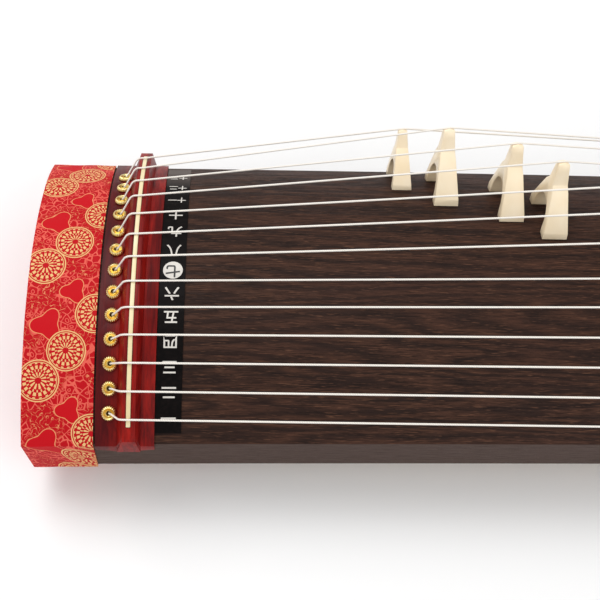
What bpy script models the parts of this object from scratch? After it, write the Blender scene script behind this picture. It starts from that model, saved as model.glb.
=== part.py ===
"""Koto: a thirteen-string board zither with movable bridges.

X runs along the strings, with the head end at -X. String 1 is on the player's side at -Y.
The origin is under the middle of the instrument, on the surface that its feet stand on.
"""

import math

import bmesh
import bpy
from mathutils import Matrix, Vector

# Body
HALF_LENGTH = 0.910
HALF_WIDTH = 0.125
SIDE_HEIGHT = 0.041
ARCH_HEIGHT = 0.046          # rise of the soundboard above its side edges
CAMBER = 0.0175               # rise of the middle of the body above its ends
END_CLEARANCE = 0.028        # height of the underside above the ground at the ends
WALL = 0.008                 # side walls
BOARD_THICKNESS = 0.009      # soundboard
BACK_THICKNESS = 0.008
PANEL_THICKNESS = 0.003
HEAD_SHELL_X = -0.9025
TAIL_SHELL_X = 0.9065
TAIL_END_X = 0.9105
GAP = 0.0003                 # between pieces that touch

# Head
COVER_LEFT_X = -0.9125
COVER_RIGHT_X = -0.8605
COVER_CLOTH = 0.0014
COVER_TUCK = 0.0035          # how far the cover's end leans in at the bottom
PLATE_X = (-0.8590, -0.8160)
PLATE_THICKNESS = 0.0016
PLATE_LIP = 0.0060           # how far the plate laps down the sides
PLATE_BULGE = 0.0040         # extra lap below the ridge
EYELET_X = -0.8490
HEAD_SADDLE_X = -0.8340
NUMBER_STRIP_X = (-0.8155, -0.7965)
NUMBER_STRIP_ANGLES = (-0.660, 0.670)

# Ridges that the strings cross: x from the saddle, height above the soundboard
RIDGE_TOP = (-0.0045, 0.0050)
RIDGE_BASE = (-0.0093, 0.0080)
HEAD_RIDGE_HEIGHT = 0.0146
TAIL_RIDGE_HEIGHT = 0.0125
RIDGE_SADDLE_HALF = 0.0016
RIDGE_DROP = 0.0045          # how far the ridge ends come down over the plate
RIDGE_END_Y = 0.1292
SADDLE_END_Y = 0.1205

# Tail
TAIL_SADDLE_X = 0.8200
TAIL_HOLE_X = 0.8380
TAIL_PLATE_X = (0.8060, TAIL_END_X)
TAIL_RETURN_SHIFT = 0.0028   # sideways step of a string on its way back over the tail

# Strings
STRING_COUNT = 13
STRING_RADIUS = 0.00075
STRING_ANGLE = 0.0977        # radians of the arch from one string to the next
STRING_SHIFT = -0.0055
EYELET_ANGLE = 0.0924
EYELET_SHIFT = -0.0266
HEAD_STRING_HEIGHT = 0.0163  # above the soundboard at the head saddle
TAIL_STRING_HEIGHT = 0.0142

# Movable bridges: distance from the head saddle, string 1 first
BRIDGE_REACH = (1.220, 1.120, 1.050, 1.000, 0.860, 0.810, 0.500, 0.430, 0.395, 0.326, 0.295, 0.245, 0.212)
BRIDGE_HEIGHT = 0.0560       # soundboard to the string's centre
BRIDGE_FOOT_SPAN = 0.0510
BRIDGE_FOOT_DEPTH = 0.0085
BRIDGE_FOOT_WIDTH = 0.0200   # along the string
BRIDGE_TOP_WIDTH = 0.0088
BRIDGE_ARCH_HEIGHT = 0.0230
SMALL_BRIDGE = 0.81          # the outermost two, next to the edges

FOOT_SIZE = (0.052, 0.030)
FOOT_X = {"head": -0.790, "tail": 0.760}
FOOT_Y = 0.080

BRACE_X = (-0.330, 0.050, 0.430)
SOUND_HOLE_X = {"head": -0.600, "tail": 0.640}
SOUND_HOLE_SIZE = (0.150, 0.080)

ARCH_RADIUS = (ARCH_HEIGHT ** 2 + HALF_WIDTH ** 2) / (2 * ARCH_HEIGHT)
ARCH_CENTRE = SIDE_HEIGHT + ARCH_HEIGHT - ARCH_RADIUS   # above the underside
ARCH_STEPS = 20

WOODS = {
    "burnt_paulownia": ((0.060, 0.030, 0.018), 0.45),
    "plain_paulownia": ((0.46, 0.32, 0.19), 0.65),
    "red_wood": ((0.30, 0.035, 0.025), 0.38),
    "cream_plastic": ((0.93, 0.78, 0.52), 0.32),
    "ivory_plastic": ((0.93, 0.86, 0.66), 0.30),
    "gold_metal": ((0.85, 0.58, 0.16), 0.25),
    "string_fibre": ((0.88, 0.84, 0.78), 0.42),
    "brocade_red": ((0.55, 0.01, 0.025), 0.70),
    "strip_film": ((0.020, 0.014, 0.012), 0.30),
}


def underside(x):
    """Height of the body's underside above the ground."""
    return END_CLEARANCE + CAMBER * (1 - (x / HALF_LENGTH) ** 2)


def arch_point(angle, height):
    """The (y, z) of a point above the soundboard, in a body that isn't cambered."""
    radius = ARCH_RADIUS + height
    return radius * math.sin(angle), ARCH_CENTRE + radius * math.cos(angle)


def on_board(x, angle, height):
    """A point above the soundboard of the finished, cambered body."""
    y, z = arch_point(angle, height)
    return Vector((x, y, underside(x) + z))


def arch_angle(y, height):
    return math.asin(y / (ARCH_RADIUS + height))


def arch_run(end_y, height, steps=ARCH_STEPS):
    """Points of the arch from +end_y to -end_y, at a height above the soundboard."""
    end = arch_angle(end_y, height)
    return [arch_point(end - 2 * end * i / steps, height) for i in range(steps + 1)]


def material(name):
    found = bpy.data.materials.get(name)
    if found:
        return found
    colour, roughness = WOODS[name]
    made = bpy.data.materials.new(name)
    made.use_nodes = True
    shader = made.node_tree.nodes["Principled BSDF"]
    shader.inputs["Base Color"].default_value = (*colour, 1)
    shader.inputs["Roughness"].default_value = roughness
    shader.inputs["Metallic"].default_value = 1.0 if name == "gold_metal" else 0.0
    made.diffuse_color = (*colour, 1)
    return made


def collection(name):
    found = bpy.data.collections.get(name)
    if not found:
        found = bpy.data.collections.new(name)
        bpy.context.scene.collection.children.link(found)
    return found


def add_object(name, mesh, finish, group="koto"):
    obj = bpy.data.objects.new(name, mesh)
    if finish and not mesh.materials:
        mesh.materials.append(material(finish))
    collection(group).objects.link(obj)
    return obj


def to_mesh(name, bm):
    bmesh.ops.recalc_face_normals(bm, faces=bm.faces)
    mesh = bpy.data.meshes.new(name)
    bm.to_mesh(mesh)
    bm.free()
    return mesh


def follow_camber(mesh, above=-1.0):
    """Bend a mesh that was made straight. Only what lies above a height is moved."""
    for vertex in mesh.vertices:
        if vertex.co.z > above:
            vertex.co.z += underside(vertex.co.x)


def stations(start, end, step=0.10):
    count = max(1, math.ceil(abs(end - start) / step))
    return [start + (end - start) * i / count for i in range(count + 1)]


def sweep(name, outline, places, finish):
    """A cross-section, as (y, z) points, carried along X and bent to the camber."""
    bm = bmesh.new()
    face = bm.faces.new([bm.verts.new((places[0], y, z)) for y, z in outline])
    for start, end in zip(places, places[1:]):
        grown = bmesh.ops.extrude_face_region(bm, geom=[face])["geom"]
        moved = [item for item in grown if isinstance(item, bmesh.types.BMVert)]
        bmesh.ops.translate(bm, verts=moved, vec=(end - start, 0, 0))
        if face.is_valid and start != places[0]:
            bmesh.ops.delete(bm, geom=[face], context="FACES_ONLY")
        face = next(item for item in grown if isinstance(item, bmesh.types.BMFace))
    mesh = to_mesh(name, bm)
    follow_camber(mesh)
    return add_object(name, mesh, finish)


def arch_band(name, x_range, heights, angles, steps, finish):
    """A strip that lies along the arch: a rectangle spun about the arch's axis."""
    low, high = heights
    bm = bmesh.new()
    corners = [(x_range[0], low), (x_range[1], low), (x_range[1], high), (x_range[0], high)]
    verts = [bm.verts.new((x, *arch_point(angles[0], height))) for x, height in corners]
    face = bm.faces.new(verts)
    bmesh.ops.spin(bm, geom=[face, *face.edges, *face.verts], cent=(0, 0, ARCH_CENTRE), axis=(1, 0, 0),
                   angle=angles[0] - angles[1], steps=steps, use_duplicate=False)
    bmesh.ops.remove_doubles(bm, verts=bm.verts, dist=1e-6)
    mesh = to_mesh(name, bm)
    follow_camber(mesh)
    return add_object(name, mesh, finish)


def loft(name, rings, finish):
    """A solid through rings of equal counts, closed at both ends."""
    bm = bmesh.new()
    layers = [[bm.verts.new(point) for point in ring] for ring in rings]
    count = len(rings[0])
    for lower, upper in zip(layers, layers[1:]):
        for i in range(count):
            j = (i + 1) % count
            bm.faces.new((lower[i], lower[j], upper[j], upper[i]))
    bm.faces.new(layers[0])
    bm.faces.new(layers[-1])
    mesh = to_mesh(name, bm)
    follow_camber(mesh)
    return add_object(name, mesh, finish)


def cutter(name, shapes):
    """One cutter of several cylinders, each given as (matrix, radius, length, sides)."""
    bm = bmesh.new()
    for matrix, radius, length, sides in shapes:
        bmesh.ops.create_cone(bm, cap_ends=True, segments=sides, radius1=radius, radius2=radius,
                              depth=length, matrix=matrix)
    obj = add_object(name, to_mesh(name, bm), None, "cutters")
    obj.hide_render = True
    obj.display_type = "WIRE"
    return obj


def cut(obj, tool):
    boolean = obj.modifiers.new(tool.name, "BOOLEAN")
    boolean.operation = "DIFFERENCE"
    boolean.object = tool


def string_angle(number):
    return (number - 7) * STRING_ANGLE + STRING_SHIFT


def eyelet_angle(number):
    return (number - 7) * EYELET_ANGLE + EYELET_SHIFT


def bridge_x(number):
    return HEAD_SADDLE_X + BRIDGE_REACH[number - 1]


def bridge_scale(number):
    return SMALL_BRIDGE if number in (1, STRING_COUNT) else 1.0


def lean(x):
    """Slope of the cambered body, as an angle about Y."""
    return math.atan(2 * CAMBER * x / HALF_LENGTH ** 2)


def standing(x, angle, height=0.0):
    """The frame of a piece that stands square on the arch: its Z points away from the board."""
    turn = Matrix.Rotation(lean(x), 4, "Y") @ Matrix.Rotation(-angle, 4, "X")
    return Matrix.Translation(on_board(x, angle, height)) @ turn


# Body

def outer_section():
    bottom = [(-HALF_WIDTH, 0.0), (HALF_WIDTH, 0.0)]
    return bottom + arch_run(HALF_WIDTH, 0.0)


def inner_section(floor, margin):
    """The hollow's section, drawn in by a margin."""
    half = HALF_WIDTH - WALL - margin
    return [(-half, floor), (half, floor)] + arch_run(half, -BOARD_THICKNESS - margin)


def make_soundboard():
    half = HALF_WIDTH - WALL
    outer = [(HALF_WIDTH, 0.0)] + arch_run(HALF_WIDTH, 0.0) + [(-HALF_WIDTH, 0.0)]
    inner = arch_run(half, -BOARD_THICKNESS)
    outline = outer + [(-half, 0.0)] + inner[::-1] + [(half, 0.0)]
    return sweep("soundboard", outline, stations(HEAD_SHELL_X, TAIL_SHELL_X, 0.15), "burnt_paulownia")


def make_back_board():
    half = HALF_WIDTH - WALL - GAP
    outline = [(-half, 0.0), (half, 0.0), (half, BACK_THICKNESS), (-half, BACK_THICKNESS)]
    board = sweep("back_board", outline, stations(HEAD_SHELL_X, TAIL_SHELL_X, 0.15), "plain_paulownia")
    length, width = SOUND_HOLE_SIZE
    for place, x in SOUND_HOLE_X.items():
        stretch = Matrix.Diagonal((length / width, 1, 1, 1))
        where = Matrix.Translation((x, 0, underside(x))) @ stretch
        cut(board, cutter(f"{place}_sound_hole", [(where, width / 2, 0.06, 24)]))
    return board


def make_blocks():
    section = inner_section(BACK_THICKNESS + GAP, GAP)
    sweep("head_block", section, [HEAD_SHELL_X, PLATE_X[0] - 0.003], "plain_paulownia")
    sweep("tail_block", section, [TAIL_HOLE_X + 0.012, TAIL_SHELL_X], "plain_paulownia")


def make_panels():
    section = outer_section()
    sweep("head_panel", section, [HEAD_SHELL_X - GAP - PANEL_THICKNESS, HEAD_SHELL_X - GAP], "red_wood")
    sweep("tail_panel", section, [TAIL_SHELL_X + GAP, TAIL_END_X], "red_wood")


def make_braces():
    """Cross boards inside, each cut away below so that the air is one volume."""
    floor = BACK_THICKNESS + GAP
    half_window = 0.070
    window_top = 0.044
    corner = 0.012
    for i, x in enumerate(BRACE_X, start=1):
        half = HALF_WIDTH - WALL - GAP
        outline = [(half_window, floor), (half, floor)] + arch_run(half, -BOARD_THICKNESS - GAP)
        outline += [(-half, floor), (-half_window, floor), (-half_window, window_top - corner),
                    (-half_window + corner, window_top), (half_window - corner, window_top),
                    (half_window, window_top - corner)]
        sweep(f"brace_{i}", outline, [x - 0.004, x + 0.004], "plain_paulownia")


def make_feet():
    """Four feet, flat on the ground and cut to the camber at the top."""
    length, width = FOOT_SIZE
    for place, x in FOOT_X.items():
        for side, y in (("near", -FOOT_Y), ("far", FOOT_Y)):
            name = f"{place}_foot_{side}"
            bm = bmesh.new()
            bmesh.ops.create_cube(bm, size=1.0)
            bmesh.ops.scale(bm, verts=bm.verts, vec=(length, width, 1.0))
            for vertex in bm.verts:
                top = vertex.co.z > 0
                if not top:
                    vertex.co.x *= 0.82
                    vertex.co.y *= 0.78
                vertex.co.z = underside(x + vertex.co.x) - GAP if top else 0.0
            foot = add_object(name, to_mesh(name, bm), "red_wood")
            foot.location = (x, y, 0)
            bevel = foot.modifiers.new("soft_edges", "BEVEL")
            bevel.width = 0.002
            bevel.segments = 2


# Head and tail

def plate_section(lip):
    """A thin cap over the arch, with a lip down each side."""
    inner_y = HALF_WIDTH + GAP
    outer_y = inner_y + PLATE_THICKNESS
    outer = arch_run(outer_y, GAP + PLATE_THICKNESS)
    inner = arch_run(inner_y, GAP)
    bottom = SIDE_HEIGHT - lip
    return [(outer_y, bottom)] + outer + [(-outer_y, bottom), (-inner_y, bottom)] + inner[::-1] + [(inner_y, bottom)]


def make_head_plate():
    start, end = PLATE_X
    middle = (start + end) / 2
    places = stations(start, end, (end - start) / 10)
    plate = sweep("head_plate", plate_section(PLATE_LIP), places, "red_wood")
    for vertex in plate.data.vertices:
        lip_edge = underside(vertex.co.x) + SIDE_HEIGHT - PLATE_LIP
        if vertex.co.z < lip_edge + 1e-4:
            across = (vertex.co.x - middle) / (end - middle)
            vertex.co.z -= PLATE_BULGE * math.cos(across * math.pi / 2) ** 2
    return plate


def make_tail_plate():
    places = stations(*TAIL_PLATE_X, 0.05)
    return sweep("tail_plate", plate_section(PLATE_LIP), places, "red_wood")


def make_ridge(name, saddle_x, height):
    """A ridge across the arch, wider at its base. Its ends come down over the plate's lips."""
    base_height = PLATE_THICKNESS + 2 * GAP
    lip_y = HALF_WIDTH + PLATE_THICKNESS + 2 * GAP
    low = SIDE_HEIGHT - RIDGE_DROP
    left, right = RIDGE_BASE
    top_left, top_right = RIDGE_TOP

    def ring(y, base_z):
        top_z = ARCH_CENTRE + math.sqrt((ARCH_RADIUS + height) ** 2 - y ** 2)
        return [(saddle_x + left, y, base_z), (saddle_x + right, y, base_z),
                (saddle_x + top_right, y, top_z), (saddle_x + top_left, y, top_z)]

    def base_z(y):
        return ARCH_CENTRE + math.sqrt((ARCH_RADIUS + base_height) ** 2 - y ** 2)

    middle = [y for y, _ in arch_run(lip_y, base_height)]
    rings = [ring(RIDGE_END_Y, low), ring(lip_y + 1e-5, low)]
    rings += [ring(y, base_z(y)) for y in middle]
    rings += [ring(-lip_y - 1e-5, low), ring(-RIDGE_END_Y, low)]
    return loft(name, rings, "red_wood")


def make_saddle(name, ridge, saddle_x, height):
    """The pale strip let into the ridge's top, and the groove that holds it."""
    end = arch_angle(SADDLE_END_Y, height)
    depth = 0.0022
    x_range = (saddle_x - RIDGE_SADDLE_HALF, saddle_x + RIDGE_SADDLE_HALF)
    heights = (height - depth, height + 0.0006)
    arch_band(name, x_range, heights, (-end, end), ARCH_STEPS, "ivory_plastic")
    groove_x = (x_range[0] - GAP, x_range[1] + GAP)
    slack = GAP / ARCH_RADIUS
    groove = arch_band(f"{name}_groove", groove_x, (heights[0] - GAP, height + 0.004),
                       (-end - slack, end + slack), ARCH_STEPS, None)
    collection("koto").objects.unlink(groove)
    collection("cutters").objects.link(groove)
    groove.hide_render = True
    groove.display_type = "WIRE"
    cut(ridge, groove)


def make_number_strip():
    heights = (GAP, GAP + 0.0004)
    return arch_band("number_strip", NUMBER_STRIP_X, heights, NUMBER_STRIP_ANGLES, ARCH_STEPS, "strip_film")


def make_eyelets():
    """Turned eyelets, each through the plate and the soundboard."""
    profile = [(0.0021, 0.0043), (0.0029, 0.0036), (0.0040, 0.0041), (0.0050, 0.0034), (0.0052, 0.0026),
               (0.0050, 0.0022), (0.0024, 0.0022), (0.0024, -0.0110), (0.0016, -0.0110), (0.0016, 0.0039)]
    bm = bmesh.new()
    verts = [bm.verts.new((radius, 0, height)) for radius, height in profile]
    for start, end in zip(verts, verts[1:] + verts[:1]):
        bm.edges.new((start, end))
    mesh = bpy.data.meshes.new("eyelet")
    bm.to_mesh(mesh)
    bm.free()
    for number in range(1, STRING_COUNT + 1):
        eyelet = add_object(f"eyelet_{number:02d}", mesh, "gold_metal")
        eyelet.matrix_world = standing(EYELET_X, eyelet_angle(number))
        turn = eyelet.modifiers.new("turning", "SCREW")
        turn.angle = 2 * math.pi
        turn.steps = 16
        turn.render_steps = 16
        turn.use_merge_vertices = True
        turn.merge_threshold = 1e-5
        turn.use_smooth_shade = True


def drill_string_holes(soundboard, back_board, head_plate, tail_plate):
    at_head = [(standing(EYELET_X, eyelet_angle(n)), 0.0027, 0.05, 12) for n in range(1, STRING_COUNT + 1)]
    eyelet_drill = cutter("eyelet_drill", at_head)
    cut(soundboard, eyelet_drill)
    cut(head_plate, eyelet_drill)
    at_tail = []
    for number in range(1, STRING_COUNT + 1):
        y, z = arch_point(string_angle(number), 0.0)
        where = Matrix.Translation((TAIL_HOLE_X, y, underside(TAIL_HOLE_X) + z / 2))
        at_tail.append((where, 0.0018, 0.14, 10))
    tail_drill = cutter("tail_drill", at_tail)
    for piece in (soundboard, back_board, tail_plate):
        cut(piece, tail_drill)


def make_head_cover():
    """A cloth cap over the head end, open towards the strings."""
    slack = 0.0004
    half = HALF_WIDTH + slack
    outline = [(-half, -slack), (half, -slack)] + arch_run(half, slack)
    bm = bmesh.new()
    face = bm.faces.new([bm.verts.new((COVER_LEFT_X + COVER_CLOTH, y, z)) for y, z in outline])
    grown = bmesh.ops.extrude_face_region(bm, geom=[face])["geom"]
    moved = [item for item in grown if isinstance(item, bmesh.types.BMVert)]
    bmesh.ops.translate(bm, verts=moved, vec=(COVER_RIGHT_X - COVER_LEFT_X - COVER_CLOTH, 0, 0))
    mouth = next(item for item in grown if isinstance(item, bmesh.types.BMFace))
    bmesh.ops.delete(bm, geom=[mouth], context="FACES_ONLY")
    for vertex in bm.verts:
        if vertex.co.x < COVER_LEFT_X + 0.01:
            below = max(0.0, SIDE_HEIGHT - vertex.co.z) / SIDE_HEIGHT
            vertex.co.x += COVER_TUCK * below
    mesh = to_mesh("head_cover", bm)
    follow_camber(mesh)
    cover = add_object("head_cover", mesh, "brocade_red")
    cloth = cover.modifiers.new("cloth", "SOLIDIFY")
    cloth.thickness = COVER_CLOTH
    cloth.offset = 1.0
    cloth.use_even_offset = True
    return cover


# Movable bridges

def bridge_outline(scale):
    """Half of the bridge seen along the string, from its top down its outer side: (y, z) points."""
    def drop(y):
        return -((y * scale) ** 2) / (2 * ARCH_RADIUS) / scale

    foot = BRIDGE_FOOT_SPAN / 2
    inside = foot - BRIDGE_FOOT_DEPTH
    seat = BRIDGE_HEIGHT - (STRING_RADIUS + GAP) / scale
    rest = GAP / scale
    outer = [(0.0011, seat), (0.0011, seat + 0.0010), (0.0026, seat + 0.0008), (0.0038, seat - 0.0014),
             (0.0045, seat - 0.0060), (0.0062, 0.0375), (0.0105, 0.0330), (foot, 0.0045),
             (foot, drop(foot) + rest), (inside, drop(inside) + rest), (inside - 0.0010, 0.0040)]
    steps = 5
    reach = inside - 0.0010
    for i in range(1, steps):
        turn = math.pi / 2 * i / steps
        outer.append((reach * math.cos(turn), 0.0040 + (BRIDGE_ARCH_HEIGHT - 0.0040) * math.sin(turn)))
    outer.append((0.0, BRIDGE_ARCH_HEIGHT))
    return outer


def bridge_half_width(z):
    """Half the bridge's size along the string, narrower towards its top."""
    low, high = BRIDGE_FOOT_WIDTH / 2, BRIDGE_TOP_WIDTH / 2
    return low + (high - low) * min(1.0, max(0.0, z) / 0.0520)


def make_bridge_mesh(name, scale):
    """Half an outline as a face on the middle plane, thickened along the string, then mirrored."""
    points = bridge_outline(scale)
    seat = points[0][1]
    crown = 0.0012
    bm = bmesh.new()
    face = bm.faces.new([bm.verts.new((0, 0, seat))] + [bm.verts.new((0, y, z)) for y, z in points])
    cut_levels = (0.0040, 0.0130, BRIDGE_ARCH_HEIGHT, 0.0330, 0.0375, 0.0480)
    for level in cut_levels:
        bmesh.ops.bisect_plane(bm, geom=[*bm.faces, *bm.edges, *bm.verts], plane_co=(0, 0, level),
                               plane_no=(0, 0, 1), dist=1e-6)
    middle = list(bm.faces)
    for side in (-1, 1):
        region = middle
        if side < 0:
            copied = bmesh.ops.duplicate(bm, geom=middle)["geom"]
            region = [item for item in copied if isinstance(item, bmesh.types.BMFace)]
        grown = bmesh.ops.extrude_face_region(bm, geom=region)["geom"]
        for vertex in (item for item in grown if isinstance(item, bmesh.types.BMVert)):
            vertex.co.x = side * bridge_half_width(vertex.co.z)
            if vertex.co.z > seat - 0.0002:
                vertex.co.z -= crown
        inner = [item for item in region if item.is_valid]
        bmesh.ops.delete(bm, geom=inner, context="FACES_ONLY")
    bmesh.ops.remove_doubles(bm, verts=bm.verts, dist=1e-6)
    on_plane = [f for f in bm.faces if all(abs(v.co.y) < 1e-7 for v in f.verts)]
    bmesh.ops.delete(bm, geom=on_plane, context="FACES_ONLY")
    bmesh.ops.scale(bm, verts=bm.verts, vec=(scale, scale, scale))
    return to_mesh(name, bm)


def make_bridges():
    meshes = {scale: make_bridge_mesh(name, scale)
              for name, scale in (("bridge", 1.0), ("small_bridge", SMALL_BRIDGE))}
    for number in range(1, STRING_COUNT + 1):
        scale = bridge_scale(number)
        bridge = add_object(f"bridge_{number:02d}", meshes[scale], "cream_plastic")
        bridge.matrix_world = standing(bridge_x(number), string_angle(number))
        mirror = bridge.modifiers.new("other_half", "MIRROR")
        mirror.use_axis = (False, True, False)
        mirror.merge_threshold = 1e-5


# Strings

def string_route(number):
    """Places that one string passes, head to tail, each with its thickness as a factor."""
    at_eyelet = eyelet_angle(number)
    angle = string_angle(number)
    route = []

    def board(x, height, where=angle):
        return on_board(x, where, height)

    def add(point, thickness=1.0):
        route.append((point, thickness))

    # Knot under the soundboard, then up through the eyelet
    for height, thickness in ((-0.0200, 1.0), (-0.0190, 2.4), (-0.0160, 2.4), (-0.0150, 1.0), (0.0020, 1.0)):
        add(board(EYELET_X, height, at_eyelet), thickness)
    add(board(EYELET_X + 0.0007, 0.0044, at_eyelet))
    add(board(EYELET_X + 0.0019, 0.0061, at_eyelet))
    # Curving over the ridge's edge to its saddle
    for before, below in ((0.0074, 0.0025), (0.0060, 0.0012), (0.0047, 0.0004), (0.0028, 0.0001), (0.0, 0.0)):
        add(board(HEAD_SADDLE_X - before, HEAD_STRING_HEIGHT - below))
    # Over its bridge to the tail
    add(board(bridge_x(number), BRIDGE_HEIGHT * bridge_scale(number)))
    add(board(TAIL_SADDLE_X, TAIL_STRING_HEIGHT))
    add(board(TAIL_SADDLE_X + RIDGE_TOP[1] - 0.0005, TAIL_STRING_HEIGHT))
    add(board(TAIL_SADDLE_X + RIDGE_TOP[1] + 0.0010, TAIL_STRING_HEIGHT - 0.0008))
    # Down its hole
    y, top = arch_point(angle, 0.0)
    step = TAIL_RETURN_SHIFT

    def under(x, sideways, z):
        return Vector((x, y + sideways, underside(x) + z))

    add(under(TAIL_HOLE_X - 0.0004, 0, top + 0.0042))
    add(under(TAIL_HOLE_X, 0, top + 0.0020))
    add(under(TAIL_HOLE_X, 0, -0.0002))
    add(under(TAIL_HOLE_X + 0.0008, 0, -0.0013))
    # Back under the tail and up around its end
    add(under(TAIL_HOLE_X + 0.0040, 0, -0.0014))
    add(under(TAIL_END_X - 0.0010, step, -0.0013))
    add(under(TAIL_END_X + 0.0008, step, -0.0009))
    add(under(TAIL_END_X + 0.0013, step, 0.0006))
    back = arch_angle(y + step, 0.0)
    _, edge = arch_point(back, 0.0)
    add(under(TAIL_END_X + 0.0013, step, edge + 0.0026))
    add(under(TAIL_END_X - 0.0001, step, edge + 0.0035))
    # Home over the tail plate, with a knot beside the hole
    rest = PLATE_THICKNESS + 2 * GAP + STRING_RADIUS
    for x, height, thickness in ((TAIL_END_X - 0.006, rest, 1.0), (TAIL_HOLE_X + 0.0110, rest, 1.0),
                                 (TAIL_HOLE_X + 0.0100, rest + 0.0009, 2.0),
                                 (TAIL_HOLE_X + 0.0070, rest + 0.0009, 2.0),
                                 (TAIL_HOLE_X + 0.0060, rest + 0.0004, 1.0)):
        add(on_board(x, back, height + 0.0002), thickness)
    return route


def make_strings():
    for number in range(1, STRING_COUNT + 1):
        name = f"string_{number:02d}"
        route = string_route(number)
        curve = bpy.data.curves.new(name, "CURVE")
        curve.dimensions = "3D"
        curve.bevel_depth = STRING_RADIUS
        curve.bevel_resolution = 2
        curve.use_fill_caps = True
        spline = curve.splines.new("POLY")
        spline.points.add(len(route) - 1)
        for spot, (place, thickness) in zip(spline.points, route):
            spot.co = (*place, 1)
            spot.radius = thickness
        curve.materials.append(material("string_fibre"))
        collection("koto").objects.link(bpy.data.objects.new(name, curve))


def main():
    for obj in list(bpy.data.objects):
        bpy.data.objects.remove(obj)
    soundboard = make_soundboard()
    back_board = make_back_board()
    make_blocks()
    make_panels()
    make_braces()
    make_feet()
    head_plate = make_head_plate()
    tail_plate = make_tail_plate()
    head_ridge = make_ridge("head_ridge", HEAD_SADDLE_X, HEAD_RIDGE_HEIGHT)
    tail_ridge = make_ridge("tail_ridge", TAIL_SADDLE_X, TAIL_RIDGE_HEIGHT)
    make_saddle("head_saddle", head_ridge, HEAD_SADDLE_X, HEAD_RIDGE_HEIGHT)
    make_saddle("tail_saddle", tail_ridge, TAIL_SADDLE_X, TAIL_RIDGE_HEIGHT)
    make_number_strip()
    make_eyelets()
    drill_string_holes(soundboard, back_board, head_plate, tail_plate)
    make_head_cover()
    make_bridges()
    make_strings()


main()
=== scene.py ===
"""Looks of the koto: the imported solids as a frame, with finished pieces and materials on them."""

import math

import bpy
from mathutils import Matrix, Vector


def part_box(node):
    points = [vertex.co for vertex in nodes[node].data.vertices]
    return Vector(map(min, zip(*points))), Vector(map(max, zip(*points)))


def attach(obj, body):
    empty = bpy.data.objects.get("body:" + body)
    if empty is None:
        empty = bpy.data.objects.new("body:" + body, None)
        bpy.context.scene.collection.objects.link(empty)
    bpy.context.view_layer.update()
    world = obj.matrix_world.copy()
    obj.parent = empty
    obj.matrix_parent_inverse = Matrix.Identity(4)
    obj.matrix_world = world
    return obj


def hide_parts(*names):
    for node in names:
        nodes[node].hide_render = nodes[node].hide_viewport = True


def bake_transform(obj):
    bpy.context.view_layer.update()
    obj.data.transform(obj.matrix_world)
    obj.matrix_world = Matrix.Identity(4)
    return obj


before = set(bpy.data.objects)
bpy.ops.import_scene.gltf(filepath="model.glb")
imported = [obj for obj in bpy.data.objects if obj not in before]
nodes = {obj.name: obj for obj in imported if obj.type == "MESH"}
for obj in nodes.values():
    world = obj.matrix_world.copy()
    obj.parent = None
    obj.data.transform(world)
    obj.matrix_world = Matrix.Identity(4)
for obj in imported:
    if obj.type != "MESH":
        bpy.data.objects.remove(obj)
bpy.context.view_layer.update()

ALONG = (1, 0, 0)
ACROSS = (0, 1, 0)

# The body's shape, as in its solids
HALF_LENGTH = 0.910
HALF_WIDTH = 0.125
SIDE_HEIGHT = 0.041
ARCH_HEIGHT = 0.046
CAMBER = 0.0175
END_CLEARANCE = 0.028
ARCH_RADIUS = (ARCH_HEIGHT ** 2 + HALF_WIDTH ** 2) / (2 * ARCH_HEIGHT)
ARCH_CENTRE = SIDE_HEIGHT + ARCH_HEIGHT - ARCH_RADIUS

# Strings: angles round the arch, and heights above the board
STRINGS = 13
MIDDLE_STRING = 7
STRING_ANGLE = 0.0977
STRING_SHIFT = -0.0055
HEAD_SADDLE_X = -0.8340
TAIL_SADDLE_X = 0.8200
HEAD_STRING_HEIGHT = 0.016
BRIDGE_STRING_HEIGHT = 0.056
TAIL_STRING_HEIGHT = 0.014
STRING_RINGS = 24

# Eyelets: each point of the outline is a radius, a height and whether it is fluted
EYELET_X = -0.8490
EYELET_ANGLE = 0.0924
EYELET_SHIFT = -0.0266
EYELET_SIDES = 60
EYELET_OUTLINE = ((0.00530, 0.0021, False), (0.00570, 0.0027, True), (0.00555, 0.0036, True),
                  (0.00490, 0.0044, True), (0.00420, 0.0046, False), (0.00360, 0.0042, False),
                  (0.00315, 0.0028, False), (0.00235, 0.0023, False), (0.00232, 0.0040, False),
                  (0.00210, 0.0044, False), (0.00180, 0.0041, False), (0.00165, -0.0100, False),
                  (0.00235, -0.0105, False), (0.00240, 0.0020, False))
FLUTE_EVERY = 3
FLUTE_SQUEEZE = 0.93
FLUTE_DEPTH = 0.0004

# Marks on the number strip
FIGURES = ("一", "二", "三", "四", "五", "六", "七", "八", "九", "十", "十一", "十二", "十三")
MARK_X = -0.8060
MARK_SPREAD = 0.985
MARK_SHIFT = -0.0195
MARK_HEIGHT = 0.00100
ONE_SIGN_SIZE = 0.0115
TWO_SIGN_SIZE = 0.0072
SIGN_THICKNESS = 0.00004
SIGN_BOLDNESS = 0.00018
DISC_RADIUS = 0.0074
DISC_SIDES = 48
DISC_HEIGHT = 0.00095
MARK_ON_DISC_HEIGHT = 0.00110

# The cloth cap
COVER_START_X = -0.9125
COVER_STEP_ALONG = 0.0052
COVER_CUTS_ALONG = 9
COVER_STEP_ACROSS = 0.005
COVER_CUTS_EACH_SIDE = 24
RUMPLE = 0.00035
PATTERN_REPEAT = 0.088

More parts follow.
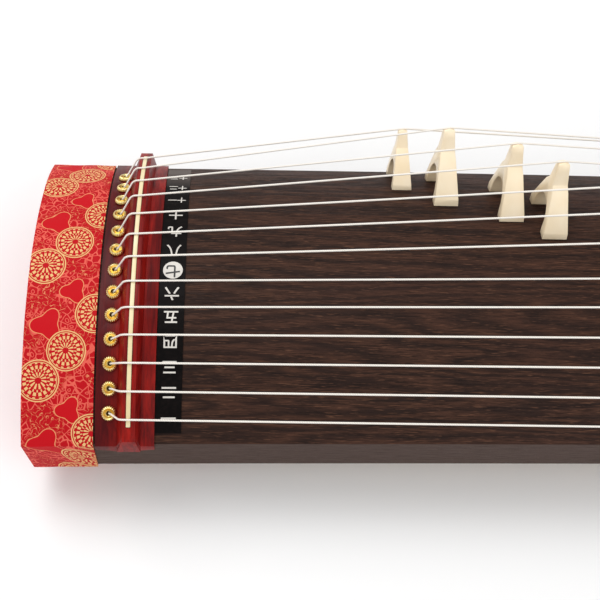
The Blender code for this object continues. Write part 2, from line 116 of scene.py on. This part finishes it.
# The camera and light of the photograph
CAMERA_PLACE = (-0.7735, -0.3952, 0.7802)
CAMERA_ELEVATION = 1.0561
CAMERA_AZIMUTH = 0.1698
CAMERA_ROLL = 0.1713
CAMERA_LENS = 60.69
SENSOR_WIDTH = 36.0
WORLD_LIGHT = 0.62
LAMP_AIM = (-0.55, 0, 0.1)
LAMPS = (("key", (-1.6, 0.9, 2.2), 1.6, 34), ("fill", (0.9, -1.8, 1.9), 2.2, 22))
FLOOR_SIZE = 60


def underside(x):
    return END_CLEARANCE + CAMBER * (1 - (x / HALF_LENGTH) ** 2)


def arch_point(angle, height):
    radius = ARCH_RADIUS + height
    return radius * math.sin(angle), ARCH_CENTRE + radius * math.cos(angle)


def on_board(x, angle, height):
    y, z = arch_point(angle, height)
    return Vector((x, y, underside(x) + z))


def standing(x, angle, height=0.0):
    """The frame of a piece that stands square on the arch."""
    lean = math.atan(2 * CAMBER * x / HALF_LENGTH ** 2)
    turn = Matrix.Rotation(lean, 4, "Y") @ Matrix.Rotation(-angle, 4, "X")
    return Matrix.Translation(on_board(x, angle, height)) @ turn


def string_angle(number):
    return (number - MIDDLE_STRING) * STRING_ANGLE + STRING_SHIFT


def eyelet_angle(number):
    return (number - MIDDLE_STRING) * EYELET_ANGLE + EYELET_SHIFT


# Shader expressions

class Wire:
    """An output socket that can be used in a Python expression."""

    def __init__(self, shop, socket):
        self.shop = shop
        self.socket = socket

    def maths(self, operation, *others):
        return self.shop.node("ShaderNodeMath", {"operation": operation}, (self, *others))

    def __add__(self, other):
        return self.maths("ADD", other)

    __radd__ = __add__

    def __sub__(self, other):
        return self.maths("SUBTRACT", other)

    def __rsub__(self, other):
        return self.shop.node("ShaderNodeMath", {"operation": "SUBTRACT"}, (other, self))

    def __mul__(self, other):
        return self.maths("MULTIPLY", other)

    __rmul__ = __mul__

    def __truediv__(self, other):
        return self.maths("DIVIDE", other)

    def __gt__(self, other):
        return self.maths("GREATER_THAN", other)

    def __lt__(self, other):
        return self.maths("LESS_THAN", other)

    def __abs__(self):
        return self.maths("ABSOLUTE")

    def sine(self):
        return self.maths("SINE")

    def cosine(self):
        return self.maths("COSINE")

    def root(self):
        return self.maths("SQRT")

    def turn_from(self, other):
        """The angle whose tangent is this value over the other."""
        return self.maths("ARCTAN2", other)


class Shop:
    """One material and its nodes."""

    def __init__(self, name):
        self.material = bpy.data.materials.new(name)
        self.material.use_nodes = True
        self.tree = self.material.node_tree
        self.shader = self.tree.nodes["Principled BSDF"]

    def node(self, kind, settings=None, inputs=(), output=0):
        made = self.tree.nodes.new(kind)
        for key, value in (settings or {}).items():
            setattr(made, key, value)
        pairs = inputs.items() if isinstance(inputs, dict) else enumerate(inputs)
        for key, value in pairs:
            self.feed(made.inputs[key], value)
        return Wire(self, made.outputs[output])

    def feed(self, socket, value):
        if isinstance(value, Wire):
            self.tree.links.new(value.socket, socket)
        else:
            socket.default_value = value

    def place(self, scale=(1, 1, 1)):
        where = self.node("ShaderNodeTexCoord", output="Object")
        return self.node("ShaderNodeMapping", inputs={"Vector": where, "Scale": scale})

    def axes(self):
        where = self.node("ShaderNodeTexCoord", output="Object")
        return [self.node("ShaderNodeSeparateXYZ", inputs=(where,), output=i) for i in range(3)]

    def noise(self, vector, scale, detail=3.0, roughness=0.55, distortion=0.0):
        return self.node("ShaderNodeTexNoise", inputs={"Vector": vector, "Scale": scale, "Detail": detail,
                                                       "Roughness": roughness, "Distortion": distortion})

    def cells(self, vector, scale, feature):
        return self.node("ShaderNodeTexVoronoi", {"feature": feature}, {"Vector": vector, "Scale": scale},
                         output="Distance")

    def mix(self, factor, first, second):
        return self.node("ShaderNodeMix", {"data_type": "RGBA"}, {0: factor, 6: first, 7: second}, output=2)

    def ease(self, value, low, high):
        return self.node("ShaderNodeMapRange", {"clamp": True}, (value, low, high, 0.0, 1.0))

    def bump(self, height, strength, distance):
        return self.node("ShaderNodeBump", inputs={"Strength": strength, "Distance": distance, "Height": height})

    def finish(self, specular=None, **sockets):
        if specular is not None:
            self.shader.inputs["Specular IOR Level"].default_value = specular
        for name, value in sockets.items():
            self.feed(self.shader.inputs[name.replace("_", " ").title()], value)
        return self.material


def paint(red, green, blue):
    """A colour as seen, 0 to 255, as linear values."""
    values = [c / 255 for c in (red, green, blue)]
    linear = [c / 12.92 if c <= 0.04045 else ((c + 0.055) / 1.055) ** 2.4 for c in values]
    return (*linear, 1.0)


# Finishes

def board_wood():
    """Burnt and polished paulownia: long open grain on top, plainer and greyer down the sides."""
    side_margin = 0.0003
    shop = Shop("burnt_paulownia")
    x, y, _ = shop.axes()
    wander = shop.noise(shop.place(scale=(0.9, 9.0, 9.0)), 1.6, distortion=0.6)
    bands = ((y * 420.0) + (wander * 95.0) + (x * 8.0)).sine()
    figure = shop.ease(bands, -1.0, 1.0)
    pores = shop.noise(shop.place(scale=(26.0, 460.0, 460.0)), 2.0, detail=4.0, roughness=0.7)
    streaks = shop.ease(pores, 0.44, 0.62)
    flecks = shop.noise(shop.place(scale=(60.0, 900.0, 900.0)), 1.4, detail=2.0, roughness=0.6)
    dashes = shop.ease(flecks, 0.58, 0.70)
    cloud = shop.noise(shop.place(scale=(3.0, 8.0, 8.0)), 2.0, detail=2.0)
    top = shop.mix(figure, paint(40, 24, 18), paint(70, 44, 32))
    top = shop.mix(streaks * 0.75, top, paint(20, 11, 9))
    top = shop.mix(dashes * 0.6, top, paint(112, 76, 56))
    top = shop.mix(shop.ease(cloud, 0.35, 0.75) * 0.3, top, paint(60, 37, 30))
    side = shop.mix(streaks * 0.4, paint(76, 58, 51), paint(50, 37, 33))
    on_side = abs(y) > HALF_WIDTH - side_margin
    grain = (figure * 0.35) + (streaks * -1.0)
    return shop.finish(specular=0.14, base_color=shop.mix(on_side, top, side),
                       roughness=0.50 + (streaks * 0.16), normal=shop.bump(grain, 0.28, 0.0006))


def red_wood():
    """Oiled red hardwood with streaks across the instrument, wine red beside the cap."""
    wine_from, wine_to = 0.843, 0.852
    shop = Shop("red_wood")
    x, _, _ = shop.axes()
    streak = shop.noise(shop.place(scale=(150.0, 7.0, 40.0)), 1.4, detail=5.0, roughness=0.6, distortion=0.4)
    fine = shop.noise(shop.place(scale=(700.0, 26.0, 200.0)), 1.2)
    tone = shop.ease(streak, 0.32, 0.68)
    wood = shop.mix(tone, paint(84, 6, 8), paint(160, 26, 18))
    wood = shop.mix(shop.ease(fine, 0.5, 0.75) * 0.5, wood, paint(58, 8, 10))
    wine = shop.ease(x * -1.0, wine_from, wine_to)
    wood = shop.mix(wine * 0.72, wood, paint(56, 8, 14))
    return shop.finish(specular=0.14, base_color=wood, roughness=0.34 + (fine * 0.14),
                       normal=shop.bump(fine, 0.12, 0.0003))


def plain_wood():
    shop = Shop("plain_paulownia")
    grain = shop.noise(shop.place(scale=(5.0, 120.0, 60.0)), 2.0, detail=5.0, distortion=0.5)
    wood = shop.mix(shop.ease(grain, 0.35, 0.7), paint(196, 166, 128), paint(160, 124, 88))
    return shop.finish(base_color=wood, roughness=0.62, normal=shop.bump(grain, 0.15, 0.0004))


def moulded(name, light, dark, roughness):
    """A pale moulded or polished piece with a faint unevenness."""
    shop = Shop(name)
    cloud = shop.noise(shop.place(), 38.0)
    fine = shop.noise(shop.place(), 900.0, detail=2.0)
    return shop.finish(base_color=shop.mix(shop.ease(cloud, 0.3, 0.75), light, dark), roughness=roughness,
                       normal=shop.bump(fine, 0.04, 0.0002))


def gold():
    shop = Shop("gold_plate")
    wear = shop.noise(shop.place(), 420.0)
    colour = shop.mix(shop.ease(wear, 0.35, 0.7), paint(255, 240, 178), paint(246, 214, 132))
    return shop.finish(base_color=colour, metallic=1.0, roughness=0.26 + (wear * 0.16))


def string_fibre():
    """Pale fibre with a fine twist."""
    shop = Shop("string_fibre")
    x, y, z = shop.axes()
    twist = shop.ease(((x * 3600.0) + (y * 2400.0) + (z * 2400.0)).sine(), -1.0, 1.0)
    colour = shop.mix(twist, paint(232, 224, 214), paint(252, 248, 240))
    return shop.finish(base_color=colour, roughness=0.42, normal=shop.bump(twist, 0.25, 0.0002))


def film():
    """Dark film, with a painted sheen that makes it paler towards its far end."""
    # Painted sheen: the film's colour fades to pale grey between these two y places, standing in for reflected
    # light.
    painted_sheen_from, painted_sheen_to = 0.085, 0.112
    shop = Shop("strip_film")
    _, y, _ = shop.axes()
    specks = shop.noise(shop.place(), 300.0, detail=4.0)
    dark = shop.mix(shop.ease(specks, 0.45, 0.8), paint(12, 9, 9), paint(24, 18, 17))
    # Painted sheen: mixes the dark film towards pale grey at its far end.
    colour = shop.mix(shop.ease(y, painted_sheen_from, painted_sheen_to) * 0.6, dark, paint(116, 104, 98))
    return shop.finish(specular=0.06, base_color=colour, roughness=0.42)


def ring(radius, at, width):
    return abs(radius - at) < width


def lobed(radius, angle, count, depth):
    return radius + ((angle * count).cosine() * depth)


def any_of(*masks):
    total = masks[0]
    for mask in masks[1:]:
        total = total.maths("MAXIMUM", mask)
    return total


class Brocade(Shop):
    """Red cloth on the head end, placed by metres round the arch (run) and along the body (across)."""

    MIDDLE_X = -0.885
    PATTERN_X = 0.8868
    FOLD_SHARE = 0.8
    THREADS = 9000.0
    RED = paint(196, 0, 18)
    DEEP_RED = paint(160, 0, 12)
    GOLD_THREAD = paint(228, 146, 100)
    CREAM = paint(232, 188, 126)
    PINK = paint(230, 100, 84)

    def __init__(self):
        super().__init__("brocade")
        x, y, z = self.axes()
        rise = z - (ARCH_CENTRE + underside(self.MIDDLE_X))
        depth = ((y * y) + (rise * rise)).root() - ARCH_RADIUS
        self.run = y.turn_from(rise) * ARCH_RADIUS
        self.across = x + (depth * self.FOLD_SHARE) + self.PATTERN_X
        weft = (self.run * self.THREADS).sine()
        warp = (self.across * self.THREADS).sine()
        self.weave = self.ease(weft * warp, -1.0, 1.0)
        self.colour = self.mix(self.weave * 0.6, self.RED, self.DEEP_RED)

    def lay(self, mask, colour):
        """Put a colour on the cloth where the mask is 1."""
        self.colour = self.mix(mask, self.colour, colour)

    def round_middle(self, run, across):
        """Radius and angle about a motif's middle, which comes back at each repeat."""
        local = (self.run - run) / PATTERN_REPEAT
        down = (local - local.maths("ROUND")) * PATTERN_REPEAT
        over = self.across - across
        return ((down * down) + (over * over)).root(), over.turn_from(down)

    def add_ground(self):
        """Small outlined blossoms, with sprigs between them."""
        here = self.node("ShaderNodeCombineXYZ", inputs=(self.run, self.across, 0.0))
        bent = self.noise(here, 90.0, detail=2.0)
        drift = self.node("ShaderNodeCombineXYZ",
                          inputs=(self.run + (bent * 0.006), self.across + (bent * -0.005), 0.0))
        edges = self.cells(drift, 185.0, "DISTANCE_TO_EDGE")
        hearts = self.cells(drift, 185.0, "F1")
        crowded = self.ease(self.noise(here, 46.0, detail=1.0), 0.44, 0.50)
        self.lay(any_of(edges < 0.06, ring(hearts, 0.22, 0.045)) * (crowded * 0.9), self.PINK)
        stems = ((self.run * 700.0) + (bent * 22.0)).sine() * ((self.across * 480.0) + (bent * 18.0)).sine()
        sprigs = (abs(stems) < 0.06) * (1.0 - crowded)
        self.lay(sprigs * 0.85, self.GOLD_THREAD)

    def add_cloud(self, run, across, size):
        """A plain cloud with a thin lined edge."""
        radius, angle = self.round_middle(run, across)
        edge = lobed(radius, angle + 0.6, 3.0, size * 0.24)
        self.lay(edge < size, self.RED)
        self.lay(ring(edge, size, 0.00035), self.GOLD_THREAD)

    def add_roundel(self, run, across, size):
        """A chrysanthemum in two lined rings."""
        radius, angle = self.round_middle(run, across)
        bud = lobed(radius, angle, 1.0, size * 0.07)
        self.lay(bud < size, self.mix(self.weave * 0.5, self.RED, self.DEEP_RED))
        petal = abs((angle * 9.0).sine())
        inner = abs((angle * 6.0).sine())
        outer_petals = (petal > 0.62) * ring(bud, size * 0.66, size * 0.085)
        middle_petals = (petal < 0.45) * ring(bud, size * 0.50, size * 0.06)
        rays = (inner > 0.72) * ring(bud, size * 0.28, size * 0.13)
        seeds = (petal > 0.8) * ring(bud, size * 0.84, size * 0.03)
        self.lay(any_of(outer_petals, middle_petals, rays, seeds), self.CREAM)
        self.lay(any_of(ring(bud, size, size * 0.028), ring(bud, size * 0.90, size * 0.018)), self.CREAM)


def brocade():
    """Red brocade: chrysanthemum roundels in pairs, clouds and small blossoms."""
    cloth = Brocade()
    cloth.add_ground()
    for run, across, size in ((0.040, -0.008, 0.0105), (0.066, 0.010, 0.0085)):
        cloth.add_cloud(run, across, size)
    for run, across, size in ((0.0, -0.013, 0.0150), (0.022, 0.007, 0.0145), (0.050, 0.027, 0.0145)):
        cloth.add_roundel(run, across, size)
    slub = cloth.noise(cloth.place(), 60.0)
    return cloth.finish(specular=0.2, base_color=cloth.colour, roughness=0.62 + (slub * 0.16),
                        normal=cloth.bump(cloth.weave, 0.22, 0.0003))


FINISHES = {}


def make_finishes():
    FINISHES.update(
        board=board_wood(), red=red_wood(), plain=plain_wood(), gold=gold(), string=string_fibre(), film=film(),
        brocade=brocade(), cream=moulded("cream_plastic", paint(255, 238, 208), paint(250, 228, 190), 0.30),
        ivory=moulded("ivory", paint(244, 230, 190), paint(226, 204, 152), 0.36),
        white=moulded("white_print", paint(226, 222, 214), paint(206, 200, 192), 0.5),
        black=moulded("black_print", paint(24, 22, 22), paint(36, 33, 32), 0.45))


# Modelling helpers

def wear_finish(piece, finish):
    piece.data.materials.clear()
    piece.data.materials.append(FINISHES[finish])


def settle(piece):
    """Put a piece's place into its mesh."""
    piece.data.transform(piece.matrix_world)
    piece.matrix_world = Matrix.Identity(4)


def enter_edit(piece):
    """Edit mode on one piece, with all of its mesh selected."""
    bpy.ops.object.select_all(action="DESELECT")
    piece.select_set(True)
    bpy.context.view_layer.objects.active = piece
    bpy.ops.object.mode_set(mode="EDIT")
    bpy.ops.mesh.select_all(action="SELECT")


def leave_edit():
    bpy.ops.object.mode_set(mode="OBJECT")


def slice_mesh(place, across, **options):
    """Cut the whole mesh that is in edit mode along a plane."""
    bpy.ops.mesh.select_all(action="SELECT")
    bpy.ops.mesh.bisect(plane_co=place, plane_no=across, **options)


def smooth_below(degrees):
    bpy.ops.object.shade_smooth_by_angle(angle=math.radians(degrees))


def round_edges(piece, width, segments, degrees):
    """Bevel the edges of the active piece that are sharper than an angle."""
    bevel = piece.modifiers.new("soft_edges", "BEVEL")
    bevel.width = width
    bevel.segments = segments
    bevel.limit_method = "ANGLE"
    bevel.angle_limit = math.radians(degrees)
    bpy.ops.object.modifier_apply(modifier=bevel.name)


def copy_of_node(name, piece_name):
    """A merged copy of a solid's mesh, active and selected, to be shaped further."""
    piece = nodes[name].copy()
    piece.data = nodes[name].data.copy()
    piece.name = piece_name
    for key in [key for key in piece.keys() if key.startswith("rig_")]:
        del piece[key]
    piece.parent = None
    bpy.context.scene.collection.objects.link(piece)
    enter_edit(piece)
    bpy.ops.mesh.remove_doubles(threshold=0.00001)
    bpy.ops.mesh.dissolve_limited(angle_limit=math.radians(0.5))
    leave_edit()
    return piece


def soften(name, piece_name, width, body, finish):
    """A solid with its edges rounded."""
    piece = copy_of_node(name, piece_name)
    round_edges(piece, width, 2, 28)
    smooth_below(32)
    wear_finish(piece, finish)
    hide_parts(name)
    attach(piece, body)


# Pieces

def finish_nodes():
    """Solids that are seen as they are."""
    worn_by = {"board": ("soundboard",),
               "plain": ("back_board", "head_block", "tail_block", "brace_1", "brace_2", "brace_3"),
               "red": ("head_panel", "tail_panel"),
               "film": ("number_strip",)}
    for finish, names in worn_by.items():
        for name in names:
            wear_finish(nodes[name], finish)


def make_wooden_trim():
    """Plates, ridges, feet and saddles."""
    for name in ("head_plate", "tail_plate", "head_ridge", "tail_ridge"):
        soften(name, f"rounded_{name}", 0.0004, "koto", "red")
    for name in ("head_foot_near", "head_foot_far", "tail_foot_near", "tail_foot_far"):
        soften(name, f"rounded_{name}", 0.0008, "koto", "red")
    for name in ("head_saddle", "tail_saddle"):
        soften(name, f"rounded_{name}", 0.0005, "koto", "ivory")


def make_bridges():
    for number in range(1, STRINGS + 1):
        label = f"{number:02d}"
        soften(f"bridge_{label}", f"smooth_bridge_{label}", 0.0006, f"movable_bridge_{label}", "cream")


def spun_eyelet():
    """A domed eyelet with a fluted rim and an open tube standing in its hollow, as one mesh."""
    radius, height, _ = EYELET_OUTLINE[0]
    bpy.ops.mesh.primitive_circle_add(vertices=EYELET_SIDES, radius=radius, location=(0, 0, height))
    eyelet = bpy.context.object
    settle(eyelet)
    enter_edit(eyelet)
    for (radius, height, _), (wider, higher, _) in zip(EYELET_OUTLINE, EYELET_OUTLINE[1:]):
        bpy.ops.mesh.extrude_region_move(TRANSFORM_OT_translate={"value": (0, 0, higher - height)})
        grow = wider / radius
        bpy.ops.transform.resize(value=(grow, grow, 1))
    leave_edit()
    for place, (_, _, fluted) in enumerate(EYELET_OUTLINE):
        if fluted:
            for i in range(0, EYELET_SIDES, FLUTE_EVERY):
                vertex = eyelet.data.vertices[place * EYELET_SIDES + i]
                vertex.co.x *= FLUTE_SQUEEZE
                vertex.co.y *= FLUTE_SQUEEZE
                vertex.co.z -= FLUTE_DEPTH
    enter_edit(eyelet)
    bpy.ops.mesh.select_mode(type="EDGE")
    bpy.ops.mesh.select_non_manifold(extend=False)
    bpy.ops.mesh.bridge_edge_loops()
    bpy.ops.mesh.select_mode(type="VERT")
    leave_edit()
    return eyelet


def make_eyelets():
    pattern = spun_eyelet()
    for number in range(1, STRINGS + 1):
        label = f"{number:02d}"
        eyelet = bpy.data.objects.new(f"fluted_eyelet_{label}", pattern.data.copy())
        bpy.context.scene.collection.objects.link(eyelet)
        eyelet.data.transform(standing(EYELET_X, eyelet_angle(number)))
        enter_edit(eyelet)
        bpy.ops.mesh.normals_make_consistent(inside=False)
        leave_edit()
        smooth_below(40)
        wear_finish(eyelet, "gold")
        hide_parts(f"eyelet_{label}")
        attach(eyelet, "koto")
    bpy.data.objects.remove(pattern)


def string_part(number, low, high, piece_name):
    """The stretch of a string's solid between two x places, with rings added along it."""
    piece = copy_of_node(f"string_{number:02d}", piece_name)
    enter_edit(piece)
    if low is not None:
        slice_mesh((low, 0, 0), ALONG, use_fill=True, clear_inner=True)
    if high is not None:
        slice_mesh((high, 0, 0), ALONG, use_fill=True, clear_outer=True)
    start = HEAD_SADDLE_X if low is None else low
    end = TAIL_SADDLE_X if high is None else high
    for i in range(1, STRING_RINGS):
        slice_mesh((start + (end - start) * i / STRING_RINGS, 0, 0), ALONG)
    leave_edit()
    smooth_below(50)
    wear_finish(piece, "string")
    return piece


def make_strings():
    for number in range(1, STRINGS + 1):
        label = f"{number:02d}"
        low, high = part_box(f"bridge_{label}")
        x = (low.x + high.x) / 2
        at_saddle = on_board(HEAD_SADDLE_X, string_angle(number), HEAD_STRING_HEIGHT)
        at_bridge = on_board(x, string_angle(number), BRIDGE_STRING_HEIGHT)
        at_tail = on_board(TAIL_SADDLE_X, string_angle(number), TAIL_STRING_HEIGHT)
        head_part = string_part(number, None, x, f"string_head_{label}")
        tail_part = string_part(number, x, None, f"string_tail_{label}")
        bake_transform(head_part)
        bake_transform(tail_part)
        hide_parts(f"string_{label}")
        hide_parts(f"string_{label}")


def lay_mark(name, angle, height, finish):
    """Lay the piece that was just made on the number strip, turned to read from the far side."""
    piece = bpy.context.object
    piece.name = name
    piece.data.transform(Matrix.Rotation(math.pi, 4, "Z"))
    piece.data.transform(standing(MARK_X, angle, height))
    wear_finish(piece, finish)
    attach(piece, "koto")


def make_figures():
    """Plain number signs, with the middle one in black on a white disc."""
    for number, figure in enumerate(FIGURES, start=1):
        angle = (number - MIDDLE_STRING) * STRING_ANGLE * MARK_SPREAD + MARK_SHIFT
        on_disc = number == MIDDLE_STRING
        if on_disc:
            bpy.ops.mesh.primitive_circle_add(vertices=DISC_SIDES, radius=DISC_RADIUS, fill_type="NGON")
            lay_mark("figure_disc", angle, DISC_HEIGHT, "white")
        bpy.ops.object.text_add()
        text = bpy.context.object.data
        text.body = figure
        text.size = ONE_SIGN_SIZE if len(figure) == 1 else TWO_SIGN_SIZE
        text.align_x = "CENTER"
        text.align_y = "CENTER"
        text.extrude = SIGN_THICKNESS
        text.offset = SIGN_BOLDNESS
        bpy.ops.object.convert(target="MESH")
        lay_mark(f"figure_{number:02d}", angle, MARK_ON_DISC_HEIGHT if on_disc else MARK_HEIGHT,
                 "black" if on_disc else "white")


def make_cover():
    """The cloth cap, subdivided and gently rumpled."""
    cover = copy_of_node("head_cover", "brocade_cover")
    enter_edit(cover)
    for i in range(1, COVER_CUTS_ALONG + 1):
        slice_mesh((COVER_START_X + i * COVER_STEP_ALONG, 0, 0), ALONG)
    for i in range(-COVER_CUTS_EACH_SIDE, COVER_CUTS_EACH_SIDE + 1):
        slice_mesh((0, i * COVER_STEP_ACROSS, 0), ACROSS)
    leave_edit()
    for vertex in cover.data.vertices:
        x, y, z = vertex.co
        ripple = math.sin(y * 95 + x * 60) * math.sin(y * 41 + 1.3) + 0.6 * math.sin(x * 210 + y * 30)
        outward = Vector((0, y, z - ARCH_CENTRE - underside(x))).normalized()
        vertex.co += outward * RUMPLE * ripple
    round_edges(cover, 0.0015, 3, 50)
    smooth_below(50)
    wear_finish(cover, "brocade")
    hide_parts("head_cover")
    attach(cover, "cover")


# Stage

def make_floor():
    bpy.ops.mesh.primitive_plane_add(size=FLOOR_SIZE, location=(0, 0, 0))
    floor = bpy.context.object
    floor.name = "floor"
    shop = Shop("pale_floor")
    floor.data.materials.append(shop.finish(base_color=paint(250, 250, 250), roughness=0.9))


def make_world():
    """White where the camera sees it, dimmer as a light."""
    world = bpy.data.worlds.new("studio")
    world.use_nodes = True
    tree = world.node_tree
    background = tree.nodes["Background"]
    background.inputs["Color"].default_value = (1, 1, 1, 1)
    seen = tree.nodes.new("ShaderNodeLightPath")
    level = tree.nodes.new("ShaderNodeMapRange")
    level.inputs["To Min"].default_value = WORLD_LIGHT
    tree.links.new(seen.outputs["Is Camera Ray"], level.inputs["Value"])
    tree.links.new(level.outputs["Result"], background.inputs["Strength"])
    bpy.context.scene.world = world


def make_lamps():
    for name, place, size, power in LAMPS:
        lamp = bpy.data.lights.new(name, "AREA")
        lamp.size = size
        lamp.energy = power
        holder = bpy.data.objects.new(name, lamp)
        bpy.context.scene.collection.objects.link(holder)
        holder.location = place
        aim = Vector(LAMP_AIM) - Vector(place)
        holder.rotation_euler = aim.to_track_quat("-Z", "Y").to_euler()


def make_camera():
    data = bpy.data.cameras.new("camera")
    data.sensor_width = SENSOR_WIDTH
    data.lens = CAMERA_LENS
    data.clip_start = 0.02
    camera = bpy.data.objects.new("camera", data)
    bpy.context.scene.collection.objects.link(camera)
    turn = (Matrix.Rotation(-CAMERA_AZIMUTH, 4, "Z") @ Matrix.Rotation(math.pi / 2 - CAMERA_ELEVATION, 4, "X")
            @ Matrix.Rotation(CAMERA_ROLL, 4, "Z"))
    camera.matrix_world = Matrix.Translation(CAMERA_PLACE) @ turn
    bpy.context.scene.camera = camera


make_camera()
bpy.context.scene.view_settings.view_transform = "Standard"
make_floor()
make_world()
make_lamps()
make_finishes()
finish_nodes()
make_wooden_trim()
make_bridges()
make_eyelets()
make_strings()
make_figures()
make_cover()
